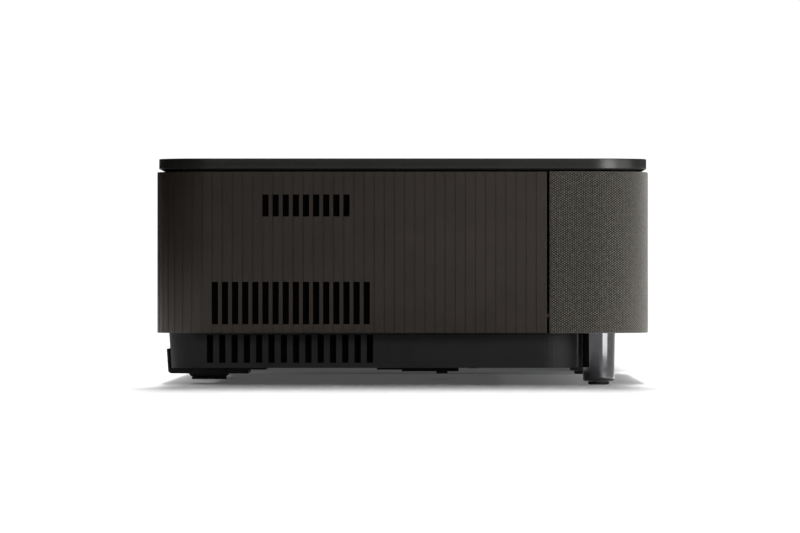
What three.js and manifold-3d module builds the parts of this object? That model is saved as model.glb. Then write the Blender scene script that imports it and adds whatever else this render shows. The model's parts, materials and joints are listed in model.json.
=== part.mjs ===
// Ultra-short-throw home projector: a low cabinet with a ribbed wrap, a cloth speaker grille and a floating
// lid, and the optics, cooling, electronics and levelling feet that it holds.
// Millimetres. +Z is up, the cloth front faces -Y, and the origin is on the table under the middle.
// "left" is the -X side and "right" the +X side.
import * as THREE from 'three';
import { mergeVertices } from 'three/addons/utils/BufferGeometryUtils.js';
import Module from 'manifold-3d';

const wasm = await Module();
wasm.setup();

// The cabinet.
const WIDTH = 695;
const DEPTH = 341;
const FRONT_CORNER = 42;
const REAR_CORNER = 38;
const CORNER_STEPS = 12;
const GAP = 0.3; // air between neighbours that touch in the real thing
const RUNNING = 0.09; // radial clearance of a shaft in its bore
const BODY_LOW = 35.8; // lower edge of the wrap and of the cloth
const BODY_TOP = 147.4;
const WALL = 2.6;
const CLOTH = 1;
const SEAM_BACK = -99.7; // the wrap ends here, and the cloth starts a seam's width further forward
const SEAM = 1.7;

// The ribbed wrap and its vents.
const PITCH = 6.99;
const FIRST_RIB = 131.7;
const GROOVE = { width: 1.4, depth: 0.5 };
const SLOT_WIDTH = 4.4;
const LOW_VENT = { slots: 16, z0: 41.9, z1: 71.2 };
const HIGH_VENT = { slots: 9, skipped: 5, z0: 116.4, z1: 131.6 };
const SIDE_RIBS = 33;

// The floating lid and the deck below it.
const LID = { inset: 1.2, low: 147.7, edge: 149.5, top: 156.5, bevel: 4, skin: 3, chamfer: 0.5, rim: 8 };
const DECK = { inset: CLOTH + WALL + 2 * GAP, low: 144.6, top: 147.2 };
const LID_POST = { x: 250, fronts: [-146, 144], halfX: 10, depth: 12 };
const STATUS = { halfX: 17, front: -152, back: -148, corner: 2, recess: 0.2 };
const WELL = { halfX: 125, front: -80, back: 24, corner: 10 }; // the opening that the picture leaves through
const RAIL = { x: WELL.halfX + 1.5, width: 4 };

// The base tub.
const BASE = { low: 11.65, front: -122, back: 162.2, halfX: 336, corner: 24, wall: 2.5, lean: 1.4 };
const BASE_VENT = { slots: 14, first: 133.2, pitch: 8.51, z0: 15.2, z1: 34.5 };
const FLANGE = { low: 36.1, top: 38.6 };
const FLOOR = BASE.low + BASE.wall;
const DECK_POST = {
  r: 5, spots: [[-180, 145], [60, 145], [-328, -20], [328, -60], [-175, -110], [175, -110]],
};
const BOARD_POST = { r: 3.5, spots: [[92, -12], [278, -12], [92, 130], [278, 130]] };
const HATCH = { halfX: 60, front: -39.1, back: 2.1, low: 6.2, step: 7.4, stepBack: 20.1 };
const HATCH_BLOCK = { halfX: 20, front: -31, back: -22.9, low: 4.2 };
const BASE_BOSS = { r: 3.5, y: -50.2, low: 7.8 };

// The shutter and its rack drive.
const SHUTTER = { halfX: 131, front: -84, back: 28, low: 149.6, top: 152.9, travel: 104, corner: 3 };
const MODULE = 1.5;
const PINION_TEETH = 12;
const RING_TEETH = 36;
const PINION_R = (PINION_TEETH * MODULE) / 2;
const RACK = { bar: 6, front: -84, back: 36 };
const RACK_PITCH_X = SHUTTER.halfX + GAP + RACK.bar + 1.1 * MODULE;
const SHUTTER_PINION = { x: RACK_PITCH_X + PINION_R, y: 28 };
const SHAFT_R = 1.5;

// The light engine. The lens looks forward along LENS_Z at the mirror.
const LENS_Z = 72;
const BARREL_FRONT = -50;
const BARREL_BACK = 41.7;
const RING_SEAT_R = 22;
const FOCUS_PINION_X = ((RING_TEETH + PINION_TEETH) * MODULE) / 2;
const WHEEL = { x: -62, y: 90, r: 27 };

// Cooling.
const FAN = { size: 92, depth: 25, bore: 42, hub: 18, z: 86 };
const EXHAUST = { x: -336, y: 78 };
const INTAKE = { x: 300, y: 76 };
const DRAWER = { front: 19.5, back: 131.5, z0: 39.2, z1: 73.9 };

// Legs and feet.
const LEG = { x: 318, y: -136, topR: 11.5, lowR: 10.85, low: 2.5 };
const FRONT_PAD_R = 7.35;
const STUD = { r: 4, low: 1.5, top: 20 };
const REAR_FOOT = { halfX: 20, front: 126.1, back: 160.8, slope: 4.3, depth: 3.6, pad: 2 };
const BRACKET = {
  x0: 240, x1: 312, low: 7.5, step: 10.2, front: 107.3, back: 162.6, lip: 24.6, thick: 1.4, lean: 1.1,
};

// The socket panel in the back.
const PANEL = { x0: 96, x1: 286, z0: 42.5, z1: 84.5, back: 152, wall: 2 };
const SOCKETS = {
  hdmi_port_1: { x: 122, z: 52, width: 14.2, height: 4.7, rim: 0.9 },
  hdmi_port_2: { x: 150, z: 52, width: 14.2, height: 4.7, rim: 0.9 },
  usb_port: { x: 178, z: 52.4, width: 12.6, height: 5.2, rim: 1 },
  power_inlet: { x: 252, z: 63, width: 24.5, height: 17, rim: 2 },
};
const SOCKET = { front: 138, mouth: 153.7, floor: 2 };
const BUTTON = { y: -70, z: 118, r: 6.2 };

// Solids ---------------------------------------------------------------------------------------------

const along = {
  x: new THREE.Matrix4().makeBasis(
    new THREE.Vector3(0, 1, 0), new THREE.Vector3(0, 0, 1), new THREE.Vector3(1, 0, 0)),
  y: new THREE.Matrix4().makeBasis(
    new THREE.Vector3(1, 0, 0), new THREE.Vector3(0, 0, 1), new THREE.Vector3(0, -1, 0)),
  z: new THREE.Matrix4(),
};

// A block between two corners.
function block(x0, x1, y0, y1, z0, z1) {
  return new THREE.BoxGeometry(x1 - x0, y1 - y0, z1 - z0)
    .translate((x0 + x1) / 2, (y0 + y1) / 2, (z0 + z1) / 2);
}

// A flat outline pushed along an axis: outline (y, z) along x, (x, z) along y, or (x, y) along z.
function prism(axis, outline, from, to) {
  const depth = to - from;
  const shape = new THREE.Shape(outline.map(([u, v]) => new THREE.Vector2(u, v)));
  return new THREE.ExtrudeGeometry(shape, { depth, bevelEnabled: false })
    .translate(0, 0, axis === 'y' ? -to : from)
    .applyMatrix4(along[axis]);
}

// A turned piece: profile of (radius, height) pairs, its axis parallel to x, y or z and through `centre`.
function turned(axis, profile, centre, steps = 24) {
  const lathe = new THREE.LatheGeometry(profile.map(([r, h]) => new THREE.Vector2(r, h)), steps);
  if (axis === 'x') lathe.rotateZ(-Math.PI / 2);
  if (axis === 'z') lathe.rotateX(Math.PI / 2);
  return lathe.translate(...centre);
}

// A plain round bar from height h0 to h1 along its axis.
function bar(axis, r, h0, h1, centre, steps = 20) {
  return turned(axis, [[0, h0], [r, h0], [r, h1], [0, h1]], centre, steps);
}

// A solid through a stack of outlines that have equal numbers of points: [[outline, z], ...] going up.
function loft(levels) {
  const count = levels[0][0].length;
  const lastRow = (levels.length - 1) * count;
  const index = [];
  for (let row = 0; row < lastRow; row += count) {
    for (let i = 0; i < count; i += 1) {
      const a = row + i;
      const b = row + ((i + 1) % count);
      index.push(a, b, b + count, a, b + count, a + count);
    }
  }
  const flat = levels[0][0].map(([x, y]) => new THREE.Vector2(x, y));
  for (const [a, b, c] of THREE.ShapeUtils.triangulateShape(flat, [])) {
    index.push(c, b, a, a + lastRow, b + lastRow, c + lastRow);
  }
  const geometry = new THREE.BufferGeometry();
  const points = levels.flatMap(([outline, z]) => outline.flatMap(([x, y]) => [x, y, z]));
  geometry.setAttribute('position', new THREE.Float32BufferAttribute(points, 3));
  geometry.setIndex(index);
  return geometry;
}

function toManifold(geometry) {
  const bare = geometry.clone();
  bare.deleteAttribute('normal');
  bare.deleteAttribute('uv');
  const welded = mergeVertices(bare, 1e-4);
  return new wasm.Manifold(new wasm.Mesh({
    numProp: 3,
    vertProperties: new Float32Array(welded.attributes.position.array),
    triVerts: new Uint32Array(welded.index.array),
  }));
}

function toGeometry(manifold) {
  const mesh = manifold.getMesh();
  const geometry = new THREE.BufferGeometry();
  geometry.setAttribute('position', new THREE.Float32BufferAttribute(mesh.vertProperties, 3));
  geometry.setIndex([...mesh.triVerts]);
  return geometry;
}

const join = (...solids) => toGeometry(wasm.Manifold.union(solids.map(toManifold)));
const cut = (solid, ...tools) => toGeometry(wasm.Manifold.difference([solid, ...tools].map(toManifold)));
const overlap = (...solids) => toGeometry(wasm.Manifold.intersection(solids.map(toManifold)));

// A rectangle with rounded corners, anticlockwise from the front right corner.
function roundedOutline(x0, x1, y0, y1, frontR, rearR, steps = CORNER_STEPS) {
  const corners = [
    [x1 - frontR, y0 + frontR, frontR, -90],
    [x1 - rearR, y1 - rearR, rearR, 0],
    [x0 + rearR, y1 - rearR, rearR, 90],
    [x0 + frontR, y0 + frontR, frontR, 180],
  ];
  return corners.flatMap(([x, y, r, start]) =>
    Array.from({ length: steps + 1 }, (_, i) => {
      const angle = THREE.MathUtils.degToRad(start + (90 * i) / steps);
      return [x + r * Math.cos(angle), y + r * Math.sin(angle)];
    }));
}

// The cabinet's plan, drawn `inset` inside its outer face.
const plan = (inset) => roundedOutline(
  inset - WIDTH / 2, WIDTH / 2 - inset, inset - DEPTH / 2, DEPTH / 2 - inset,
  FRONT_CORNER - inset, REAR_CORNER - inset);

// The base tub's plan, drawn `inset` inside its side, with the back edge moved forward by `lean`.
const basePlan = (inset, lean = 0) => roundedOutline(
  inset - BASE.halfX, BASE.halfX - inset, BASE.front + inset, BASE.back - inset - lean,
  BASE.corner - inset, BASE.corner - inset);

// A wall that follows the cabinet's plan.
const planWall = (outer, inner, z0, z1) =>
  cut(prism('z', plan(outer), z0, z1), prism('z', plan(inner), z0 - 1, z1 + 1));

// A spur gear's outline. The teeth are a little thin, so a meshing pair never binds.
function gearOutline(teeth, phase) {
  const pitchR = (teeth * MODULE) / 2;
  const corners = [
    [pitchR - 1.15 * MODULE, -1.5],
    [pitchR + 0.8 * MODULE, -0.45],
    [pitchR + 0.8 * MODULE, 0.45],
    [pitchR - 1.15 * MODULE, 1.5],
  ];
  return Array.from({ length: teeth }, (_, i) => corners.map(([r, half]) => {
    const angle = phase + (2 * Math.PI * i) / teeth + half / r;
    return [r * Math.cos(angle), r * Math.sin(angle)];
  })).flat();
}

const shifted = (outline, dx, dy) => outline.map(([x, y]) => [x + dx, y + dy]);
const sides = { left: -1, right: 1 };

// Cabinet --------------------------------------------------------------------------------------------

// Where the upright grooves are cut: [x, y, angle] on the outer face, up one side and round the back.
function grooveSpots() {
  const spots = [];
  for (let i = 0; i < SIDE_RIBS; i += 1) {
    for (const side of Object.values(sides)) spots.push([(side * WIDTH) / 2, FIRST_RIB - i * PITCH, 0]);
  }
  const start = DEPTH / 2 - REAR_CORNER;
  const arc = (REAR_CORNER * Math.PI) / 2;
  const straight = WIDTH / 2 - REAR_CORNER;
  const length = start - FIRST_RIB + arc + straight;
  const count = Math.round(length / PITCH);
  const pitch = length / (count + 0.5);
  for (let i = 1; i <= count; i += 1) {
    const run = i * pitch - (start - FIRST_RIB);
    const angle = Math.min(run, arc) / REAR_CORNER;
    const x = straight + REAR_CORNER * Math.cos(angle) - Math.max(run - arc, 0);
    const y = start + REAR_CORNER * Math.sin(angle);
    for (const side of Object.values(sides)) spots.push([side * x, y, side * angle]);
  }
  return spots;
}

const grooves = () => grooveSpots().map(([x, y, angle]) =>
  new THREE.BoxGeometry(2 * GROOVE.depth, GROOVE.width, 2 * BODY_TOP)
    .rotateZ(angle)
    .translate(x, y, 0));

// Slots through one side wall. Each slot starts at a groove.
function ventSlots(side, vent, first, last) {
  const x = (side * WIDTH) / 2;
  return Array.from({ length: last - first }, (_, i) => {
    const back = FIRST_RIB - (first + i) * PITCH;
    return block(x - 6, x + 6, back - SLOT_WIDTH, back, vent.z0, vent.z1);
  });
}

function rearWrapCover() {
  const shell = overlap(
    planWall(0, WALL, BODY_LOW, BODY_TOP),
    block(-WIDTH, WIDTH, SEAM_BACK, DEPTH, 0, 2 * BODY_TOP));
  const highLast = HIGH_VENT.skipped + HIGH_VENT.slots;
  const faceX = WIDTH / 2;
  const clips = Object.values(sides).map((side) => block(
    side * faceX - (side > 0 ? WALL : 0), side * faceX + (side < 0 ? WALL : 0),
    SEAM_BACK - SEAM + 2 * GAP, SEAM_BACK + 1, 46.9, 49.1));
  return join(cut(shell,
    ...grooves(),
    ...ventSlots(-1, LOW_VENT, 0, LOW_VENT.slots),
    ...ventSlots(-1, HIGH_VENT, HIGH_VENT.skipped, highLast),
    ...ventSlots(1, HIGH_VENT, HIGH_VENT.skipped, highLast),
    block(faceX - 6, faceX + 6, DRAWER.front, DRAWER.back, DRAWER.z0, DRAWER.z1),
    block(PANEL.x0, PANEL.x1, DEPTH / 2 - 6, DEPTH / 2 + 6, PANEL.z0, PANEL.z1),
    bar('x', BUTTON.r + GAP, faceX - 6, faceX + 6, [0, BUTTON.y, BUTTON.z])), ...clips);
}

function grilleFrame() {
  const shell = overlap(
    planWall(CLOTH + GAP, CLOTH + GAP + WALL, BODY_LOW, BODY_TOP),
    block(-WIDTH, WIDTH, -DEPTH, SEAM_BACK - SEAM, 0, 2 * BODY_TOP));
  const windows = [];
  const count = 8;
  const pitch = (WIDTH - 2 * FRONT_CORNER) / count;
  const half = pitch / 2 - 4;
  for (let i = 0; i < count; i += 1) {
    const x = (i - (count - 1) / 2) * pitch;
    windows.push(block(x - half, x + half, -DEPTH, 10 - DEPTH / 2, BODY_LOW + 12, BODY_TOP - 12));
  }
  return cut(shell, ...windows);
}

function grilleFabric() {
  return overlap(
    planWall(0, CLOTH, BODY_LOW, BODY_TOP),
    block(-WIDTH, WIDTH, -DEPTH, SEAM_BACK - SEAM, 0, 2 * BODY_TOP));
}

function topLid() {
  const slab = loft([
    [plan(LID.inset + LID.bevel), LID.low],
    [plan(LID.inset), LID.edge],
    [plan(LID.inset), LID.top - LID.chamfer],
    [plan(LID.inset + LID.chamfer), LID.top],
  ]);
  const ceiling = LID.top - LID.skin;
  const hollow = prism('z', plan(LID.rim), 0, ceiling);
  const { halfX, front, back, corner } = WELL;
  const opening = prism('z', roundedOutline(-halfX, halfX, front, back, corner, corner, 6), 0, 2 * LID.top);
  const status = prism('z', statusOutline(GAP), 0, 2 * LID.top);
  const posts = Object.values(sides).flatMap((side) => LID_POST.fronts.map((y) => block(
    side * LID_POST.x - LID_POST.halfX, side * LID_POST.x + LID_POST.halfX,
    y, y + LID_POST.depth, DECK.top + GAP, ceiling + 1)));
  return join(cut(slab, hollow, opening, status), ...posts);
}

const statusOutline = (grow) => roundedOutline(
  -STATUS.halfX - grow, STATUS.halfX + grow, STATUS.front - grow, STATUS.back + grow,
  STATUS.corner, STATUS.corner, 4);

const statusWindow = () => prism('z', statusOutline(0), LID.top - LID.skin, LID.top - STATUS.recess);

function topDeck() {
  const railSpan = [RAIL.x, RAIL.x + RAIL.width];
  const rails = [railSpan, railSpan.map((x) => -x).reverse()].map(([x0, x1]) => block(
    x0, x1, SHUTTER.front, SHUTTER.back + SHUTTER.travel, DECK.low, SHUTTER.low - GAP));
  const opening = block(-WELL.halfX, WELL.halfX, WELL.front, WELL.back, 0, 2 * DECK.top);
  const shaft = bar('z', SHAFT_R + 1, DECK.low - 5, DECK.top + 5, [SHUTTER_PINION.x, SHUTTER_PINION.y, 0]);
  return cut(join(prism('z', plan(DECK.inset), DECK.low, DECK.top), ...rails), opening, shaft);
}

function baseChassis() {
  const tub = join(
    loft([[basePlan(0, BASE.lean), BASE.low], [basePlan(0), BODY_LOW], [basePlan(0), FLANGE.top]]),
    prism('z', plan(DECK.inset), FLANGE.low, FLANGE.top));
  const slots = Array.from({ length: BASE_VENT.slots }, (_, i) => {
    const y = BASE_VENT.first - i * BASE_VENT.pitch;
    return block(-WIDTH, WIDTH, y - SLOT_WIDTH / 2, y + SLOT_WIDTH / 2, BASE_VENT.z0, BASE_VENT.z1);
  });
  const post = (r, top) => ([x, y]) => bar('z', r, FLOOR - 1, top, [x, y, 0], 16);
  const deckPosts = DECK_POST.spots.map(post(DECK_POST.r, DECK.low - GAP));
  const boardPosts = BOARD_POST.spots.map(post(BOARD_POST.r, BOARD.low - GAP));
  const plinths = [
    block(-20, 20, 50, 84, FLOOR - 1, PRISM.low - GAP),
    block(-14, 14, 20, 36, FLOOR - 1, LENS_Z - 20 - GAP),
    block(-145, -85, 60, 100, FLOOR - 1, LASER.low - GAP),
  ];
  return join(
    cut(tub, prism('z', basePlan(BASE.wall, BASE.lean), FLOOR, 2 * FLANGE.top), ...slots),
    ...deckPosts, ...boardPosts, ...plinths,
    bar('z', BASE_BOSS.r, BASE_BOSS.low, FLOOR - 1, [0, BASE_BOSS.y, 0], 20));
}

// A service plate under the base, with one raised block.
function undersideHatch() {
  const raised = HATCH_BLOCK;
  return join(
    block(-HATCH.halfX, HATCH.halfX, HATCH.front, HATCH.back, HATCH.low, BASE.low - GAP),
    block(-HATCH.halfX, HATCH.halfX, HATCH.back - 1, HATCH.stepBack, HATCH.step, BASE.low - GAP),
    block(-raised.halfX, raised.halfX, raised.front, raised.back, raised.low, HATCH.low + 1));
}

// Shutter drive --------------------------------------------------------------------------------------

const lensShutter = () => prism('z', roundedOutline(
  -SHUTTER.halfX, SHUTTER.halfX, SHUTTER.front, SHUTTER.back, SHUTTER.corner, SHUTTER.corner, 4),
SHUTTER.low, SHUTTER.top);

function shutterRack() {
  const pitch = Math.PI * MODULE;
  const rootX = RACK_PITCH_X - 1.1 * MODULE;
  const tipX = RACK_PITCH_X + 0.8 * MODULE;
  const backX = SHUTTER.halfX + GAP;
  const outline = [[backX, RACK.back], [backX, RACK.front], [rootX, RACK.front]];
  const first = Math.ceil((RACK.front + 2 - SHUTTER_PINION.y) / pitch);
  const last = Math.floor((RACK.back - 2 - SHUTTER_PINION.y) / pitch);
  for (let i = first; i <= last; i += 1) {
    const y = SHUTTER_PINION.y + i * pitch;
    outline.push([rootX, y - 1.6], [tipX, y - 0.55], [tipX, y + 0.55], [rootX, y + 1.6]);
  }
  outline.push([rootX, RACK.back]);
  return prism('z', outline, SHUTTER.low, SHUTTER.top);
}

function shutterPinion() {
  const { x, y } = SHUTTER_PINION;
  const gap = Math.PI / PINION_TEETH; // a gap, not a tooth, faces the rack
  return join(
    prism('z', shifted(gearOutline(PINION_TEETH, gap), x, y), SHUTTER.low, SHUTTER.top),
    bar('z', SHAFT_R, DECK.low - 8, SHUTTER.low + 1, [x, y, 0]));
}

// A small motor: a can with a blind bore for the shaft at its `shaftEnd`.
function motor(axis, r, h0, h1, bore, centre) {
  const seat = bore[0] === h0 ? [h0 - 1, bore[1]] : [bore[0], h1 + 1];
  return cut(bar(axis, r, h0, h1, centre), bar(axis, SHAFT_R + RUNNING, ...seat, centre));
}

const shutterMotor = () => {
  const top = DECK.low - GAP;
  return motor('z', 10, top - 24, top, [top - 9, top], [SHUTTER_PINION.x, SHUTTER_PINION.y, 0]);
};

// Optics ---------------------------------------------------------------------------------------------

// A trough under the opening: its steep front holds the window and its floor rises to the back.
const TROUGH = { top: DECK.low - GAP, wall: 2, lowY: -49, low: 108.8, backZ: 141, under: [-50.5, 105.5] };
const LIGHT_HOLE = { width: 120, height: 30, y: -65, z: 126 };
const WINDOW = { width: 126, height: 36, thick: 2, y: -67.15, z: 123.9 };

function lensWell() {
  const { top, wall, lowY, low, backZ, under } = TROUGH;
  const outer = [[WELL.front - 1, top], under, [WELL.back + 1, backZ - wall], [WELL.back + 1, top]];
  const back = WELL.back - wall;
  const inner = [[WELL.front + wall, top + 1], [lowY, low], [back, backZ], [back, top + 1]];
  const slope = Math.atan2(top - low, lowY - WELL.front);
  return cut(
    prism('x', outer, -WELL.halfX - 1, WELL.halfX + 1),
    prism('x', inner, wall - WELL.halfX, WELL.halfX - wall),
    new THREE.BoxGeometry(LIGHT_HOLE.width, LIGHT_HOLE.height, 10 * wall)
      .rotateX(-slope)
      .translate(0, LIGHT_HOLE.y, LIGHT_HOLE.z));
}

// The glass lies against the underside of the trough's front slope.
function projectionWindow() {
  const [underY, underZ] = TROUGH.under;
  const slope = Math.atan2(TROUGH.top - underZ, underY - WELL.front + 1);
  return new THREE.BoxGeometry(WINDOW.width, WINDOW.height, WINDOW.thick)
    .rotateX(-slope)
    .translate(0, WINDOW.y, WINDOW.z);
}

// A concave mirror, bent about a line above and behind it.
function projectionMirror() {
  const bend = { y: -20, z: 130, r: 80, thick: 4, steps: 12 };
  const arc = (r) => Array.from({ length: bend.steps + 1 }, (_, i) => {
    const angle = THREE.MathUtils.degToRad(200 + (40 * i) / bend.steps);
    return [bend.y + r * Math.cos(angle), bend.z + r * Math.sin(angle)];
  });
  return prism('x', [...arc(bend.r), ...arc(bend.r + bend.thick).reverse()], -58, 58);
}

const onLens = [0, 0, LENS_Z];

function lensBarrel() {
  const front = BARREL_FRONT;
  return turned('y', [
    [0, front + 14], [24, front + 8], [24, front], [30, front], [30, front + 22], [RING_SEAT_R, front + 26],
    [RING_SEAT_R, 6], [24, 8], [24, 16], [20, 18], [20, BARREL_BACK], [0, BARREL_BACK],
  ], onLens, 32);
}

const frontLens = () => turned('y', [
  [0, BARREL_FRONT + 1], [12, BARREL_FRONT + 2], [20, BARREL_FRONT + 4.5], [23.6, BARREL_FRONT + 7],
  [23.6, BARREL_FRONT + 7.7], [0, BARREL_FRONT + 13.4],
], onLens);

const FOCUS = { front: -14, back: 2 };

function focusRing() {
  const gear = prism('y', shifted(gearOutline(RING_TEETH, 0), 0, LENS_Z), FOCUS.front, FOCUS.back);
  return cut(gear, bar('y', RING_SEAT_R + RUNNING, FOCUS.front - 5, FOCUS.back + 5, onLens, 36));
}

const onFocusPinion = [FOCUS_PINION_X, 0, LENS_Z];

function focusPinion() {
  const gap = Math.PI / PINION_TEETH;
  const gear = shifted(gearOutline(PINION_TEETH, gap), FOCUS_PINION_X, LENS_Z);
  return join(
    prism('y', gear, FOCUS.front + 2, FOCUS.back),
    bar('y', SHAFT_R, FOCUS.back - 1, FOCUS.back + 12, onFocusPinion));
}

function focusMotor() {
  const front = FOCUS.back + 4;
  return motor('y', 8.5, front, front + 24, [front, front + 10], onFocusPinion);
}

const PRISM = { halfX: 24, front: 42, back: 90, low: 50, top: 94, chamfer: 5 };
const LASER = { x0: -150, x1: -76, y0: 50, y1: 112, low: 40, top: 100 };

// A block of glass prisms in a chamfered carrier.
function prismBlock() {
  const { halfX, front, back, low, top, chamfer } = PRISM;
  return prism('z', [
    [-halfX, front], [halfX, front], [halfX, back - chamfer], [halfX - chamfer, back],
    [chamfer - halfX, back], [-halfX, back - chamfer],
  ], low, top);
}

// An imaging panel: a plate with a shallow recess on the side that faces away from the prisms.
function lcdPanel() {
  const plate = block(-16, 16, 0, 4.2, PRISM.low + 4, PRISM.top - 4);
  return cut(plate, block(-12, 12, 2.8, 6, PRISM.low + 10, PRISM.top - 10));
}
const lcdGreen = () => lcdPanel().translate(0, PRISM.back + GAP, 0);
const lcdSide = (side) => lcdPanel()
  .rotateZ((-side * Math.PI) / 2)
  .translate(side * (PRISM.halfX + GAP), (PRISM.front + PRISM.back) / 2 - 3, 0);

function laserModule() {
  const snout = bar('x', 9, LASER.x1 - 1, WHEEL.x - 4, [0, WHEEL.y - 17, LENS_Z]);
  const ribs = Array.from({ length: 6 }, (_, i) => {
    const x = LASER.x0 + 10 + i * 11;
    return block(x, x + 3, LASER.y0 - 1, LASER.y0 + 4, LASER.low + 6, LASER.top - 6);
  });
  return cut(join(block(LASER.x0, LASER.x1, LASER.y0, LASER.y1, LASER.low, LASER.top), snout), ...ribs);
}

const onWheel = [WHEEL.x, WHEEL.y, LENS_Z];

const phosphorWheel = () => turned('x', [
  [0, -3], [7, -3], [7, -0.6], [WHEEL.r, -0.6], [WHEEL.r, 0.6],
  [7, 0.6], [SHAFT_R, 0.6], [SHAFT_R, 12], [0, 12],
], onWheel, 32);

function wheelMotor() {
  const stand = block(WHEEL.x + 6, WHEEL.x + 14, WHEEL.y - 9, WHEEL.y + 9, FLOOR + GAP, LENS_Z - 4);
  return cut(
    join(bar('x', 11, 3, 16, onWheel), stand),
    bar('x', SHAFT_R + RUNNING, 2, 13, onWheel));
}

// Cooling --------------------------------------------------------------------------------------------

// A comb of upright fins on a base plate, pushed along x.
function finBlock(x0, x1, y0, z0, z1, fins, pitch, thick, plate) {
  const outline = [[y0, z0], [y0 + (fins - 1) * pitch + thick, z0]];
  for (let i = fins - 1; i >= 0; i -= 1) {
    const y = y0 + i * pitch;
    outline.push([y + thick, z1], [y, z1]);
    if (i > 0) outline.push([y, z0 + plate], [y - pitch + thick, z0 + plate]);
  }
  return prism('x', outline, x0, x1);
}

const laserHeatsink = () => finBlock(-300, -165, 38, 40, 98, 15, 6.2, 1.6, 6);
const processorHeatsink = () => finBlock(150, 205, 30, BOARD.top + GAP, 66, 9, 6, 1.6, 4);

const PIPE_R = 3;

// A heat pipe over the laser and the fins.
function heatPipe() {
  const z = LASER.top + GAP + PIPE_R;
  const route = new THREE.CatmullRomCurve3([
    [-88, 104, z], [-100, 104, z], [-114, 98, z], [-128, 86, z], [-142, 80, z], [-170, 80, z], [-292, 80, z],
  ].map((p) => new THREE.Vector3(...p)));
  const section = new THREE.Shape(Array.from({ length: 8 }, (_, i) => {
    const angle = (2 * Math.PI * i) / 8;
    return new THREE.Vector2(PIPE_R * Math.cos(angle), PIPE_R * Math.sin(angle));
  }));
  return new THREE.ExtrudeGeometry(section, { steps: 18, extrudePath: route, bevelEnabled: false });
}

// A fan frame: a square duct, with three arms at its inner face that carry the motor.
function fanFrame(at, armSide) {
  const half = FAN.size / 2;
  const centre = [0, at.y, FAN.z];
  const outline = shifted(roundedOutline(-half, half, -half, half, 6, 6, 3), at.y, FAN.z);
  const duct = cut(
    prism('x', outline, at.x, at.x + FAN.depth),
    bar('x', FAN.bore, at.x - 1, at.x + FAN.depth + 1, centre, 36));
  const x0 = armSide > 0 ? at.x + FAN.depth - 3 : at.x;
  const arms = [0, 1, 2].map((i) => new THREE.BoxGeometry(3, 5, FAN.bore + 1)
    .translate(0, 0, (FAN.bore + 1) / 2)
    .rotateX((i * 2 * Math.PI) / 3)
    .translate(x0 + 1.5, at.y, FAN.z));
  const seat = armSide > 0 ? [x0 - 5, x0 + 3] : [x0, x0 + 8];
  const boss = cut(
    join(bar('x', 16, x0, x0 + 3, centre), bar('x', 6, ...seat, centre)),
    bar('x', SHAFT_R + RUNNING, x0 + (armSide > 0 ? -6 : 1), x0 + (armSide > 0 ? 2 : 9), centre));
  return join(duct, cut(join(...arms), bar('x', 5, x0 - 1, x0 + 4, centre)), boss);
}

// Seven pitched blades on a cup that covers the motor boss.
function fanRotor(at, armSide) {
  const hub = turned('x', [
    [0, 0], [FAN.hub, 0], [FAN.hub, 15], [FAN.hub - 2, 15],
    [FAN.hub - 2, 2], [SHAFT_R, 2], [SHAFT_R, 18.5], [0, 18.5],
  ], [0, 0, 0]);
  const blades = Array.from({ length: 7 }, (_, i) => new THREE.BoxGeometry(15, 1.6, FAN.bore - FAN.hub)
    .rotateZ(0.75)
    .translate(7.5, 0, (FAN.bore + FAN.hub) / 2 - 1.5)
    .rotateX((2 * Math.PI * i) / 7));
  const rotor = join(hub, ...blades);
  if (armSide < 0) rotor.rotateY(Math.PI);
  return rotor.translate(armSide > 0 ? at.x + 2.4 : at.x + FAN.depth - 2.4, at.y, FAN.z);
}

function filterCover() {
  const { front, back, z0, z1 } = DRAWER;
  const panel = block(WIDTH / 2 - WALL, WIDTH / 2, front + GAP, back - GAP, z0 + GAP, z1 - GAP);
  const sideGrooves = grooves().slice(0, 2 * SIDE_RIBS);
  return cut(panel, ...sideGrooves, ...ventSlots(1, LOW_VENT, 1, LOW_VENT.slots));
}

const FILTER = { x0: 333, y0: 24, y1: 127, z0: 42, z1: 71.4, rim: 3, folds: 16, paper: 1.2 };

// A pleated filter in a frame.
function airFilter() {
  const { x0, y0, y1, z0, z1, rim, folds, paper } = FILTER;
  const x1 = WIDTH / 2 - WALL - GAP;
  const frame = cut(
    block(x0, x1, y0, y1, z0, z1),
    block(x0 - 1, x1 + 1, y0 + rim, y1 - rim, z0 + rim, z1 - rim));
  const step = (y1 - y0 - 2) / folds;
  const pleat = (shift) => Array.from({ length: folds + 1 }, (_, i) =>
    [(i % 2 ? x1 - 1 - paper : x0 + 1) + shift, y0 + 1 + i * step]);
  return join(frame, prism('z', [...pleat(paper), ...pleat(0).reverse()], z0 + 1, z1 - 1));
}

// Electronics ----------------------------------------------------------------------------------------

const BOARD = { x0: 85, x1: 285, y0: -20, y1: 149, low: 44, top: 45.6 };

function mainBoard() {
  const chips = [[110, 10, 26], [230, 20, 30], [232, 80, 22], [110, 90, 34]].map(([x, y, size]) =>
    block(x, x + size, y, y + size * 0.7, BOARD.low + 0.5, BOARD.top + 2.4));
  return join(block(BOARD.x0, BOARD.x1, BOARD.y0, BOARD.y1, BOARD.low, BOARD.top), ...chips);
}

const SUPPLY = { x0: -282, x1: -82, front: -98, back: 26, top: 62 };

function powerSupply() {
  const { x0, x1, front, back, top } = SUPPLY;
  const vents = Array.from({ length: 14 }, (_, i) => {
    const x = x0 + 16 + i * 12.5;
    return block(x, x + 5, front + 18, back - 18, top - 4, top + 2);
  });
  return cut(block(x0, x1, front, back, FLOOR + GAP, top), ...vents);
}

const SPEAKER = { x: 254, halfX: 68, front: -160, back: -104, z0: 42, z1: 140, driverZ: 91, wall: 3 };

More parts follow.
